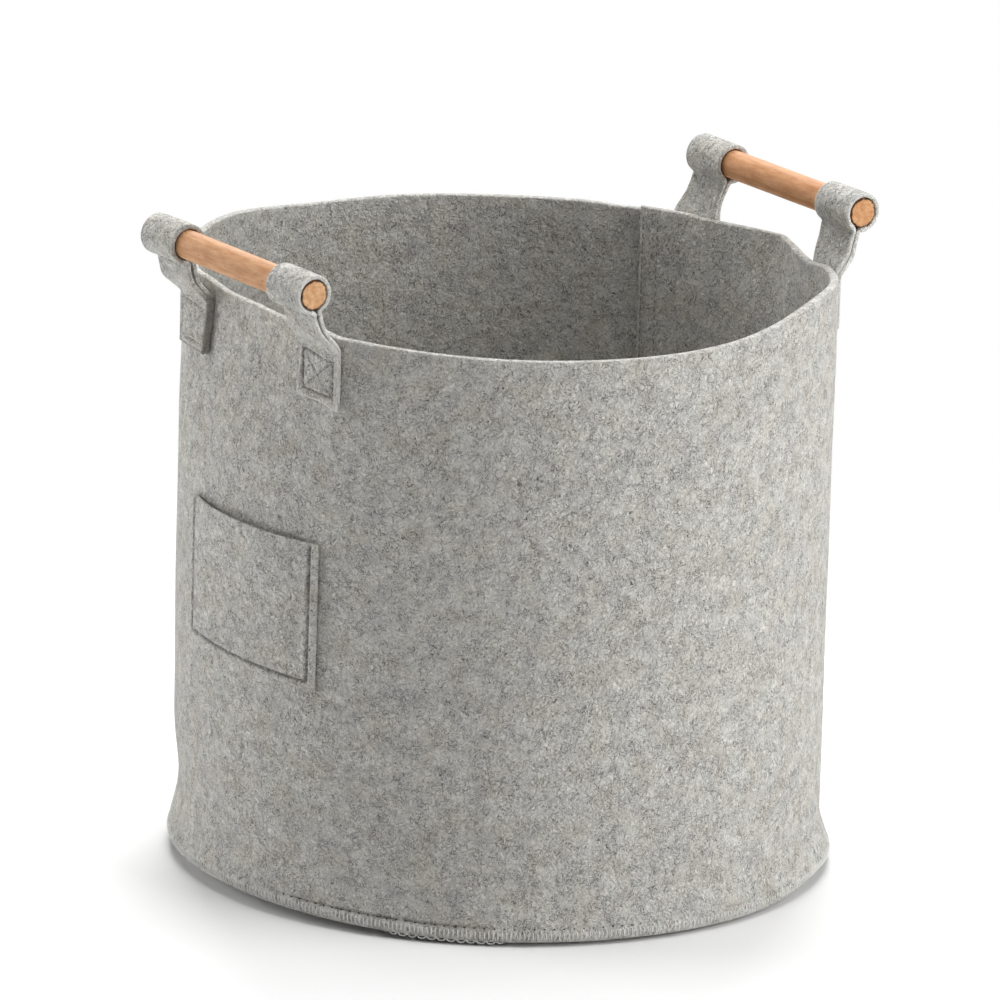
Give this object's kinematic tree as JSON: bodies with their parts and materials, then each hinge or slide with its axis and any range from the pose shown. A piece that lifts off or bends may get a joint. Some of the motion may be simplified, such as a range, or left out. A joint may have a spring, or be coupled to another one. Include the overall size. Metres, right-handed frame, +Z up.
{
  "type": "storage basket",
  "caption": "Round open-top storage basket of pressed felt with a patch pocket and wooden dowel handles held in folded felt straps.",
  "frame": {"origin": "middle of the basket's footprint on the floor", "axes": "+Z up, +X from the left handle to the right handle, -Y the front; both dowels run along Y"},
  "size_m": [0.3774, 0.358, 0.359],
  "materials": {
    "felt_wall": "light grey marled pressed felt, matt",
    "felt_base": "grey marled pressed felt, matt",
    "felt_pocket": "light grey marled pressed felt, matt",
    "felt_strap": "light grey marled pressed felt, matt",
    "beech": "sanded beech, oiled, satin"
  },
  "bodies": {
    "basket": {"wall": "felt_wall", "base": "felt_base", "pocket": "felt_pocket", "left_front_tab": "felt_strap", "left_rear_tab": "felt_strap", "right_front_tab": "felt_strap", "right_rear_tab": "felt_strap"},
    "left_handle": {"left_front_loop": "felt_strap", "left_rear_loop": "felt_strap"},
    "right_handle": {"right_front_loop": "felt_strap", "right_rear_loop": "felt_strap"},
    "left_grip": {"left_dowel": "beech"},
    "right_grip": {"right_dowel": "beech"}
  },
  "joints": [
    {"name": "left_handle_swing", "type": "hinge", "parent": "basket", "child": "left_handle", "pos_m": [-0.1668, 0, 0.315], "axis": [0, -1, 0], "range_deg": [-18.5, 101.5], "stiffness_Nm_per_rad": 0.2},
    {"name": "right_handle_swing", "type": "hinge", "parent": "basket", "child": "right_handle", "pos_m": [0.1668, 0, 0.315], "axis": [0, 1, 0], "range_deg": [-18.5, 101.5], "stiffness_Nm_per_rad": 0.2},
    {"name": "left_dowel_turn", "type": "hinge", "parent": "left_handle", "child": "left_grip", "pos_m": [-0.17791, 0, 0.34819], "axis": [0, 1, 0], "continuous": true},
    {"name": "right_dowel_turn", "type": "hinge", "parent": "right_handle", "child": "right_grip", "pos_m": [0.17791, 0, 0.34819], "axis": [0, 1, 0], "continuous": true}
  ]
}
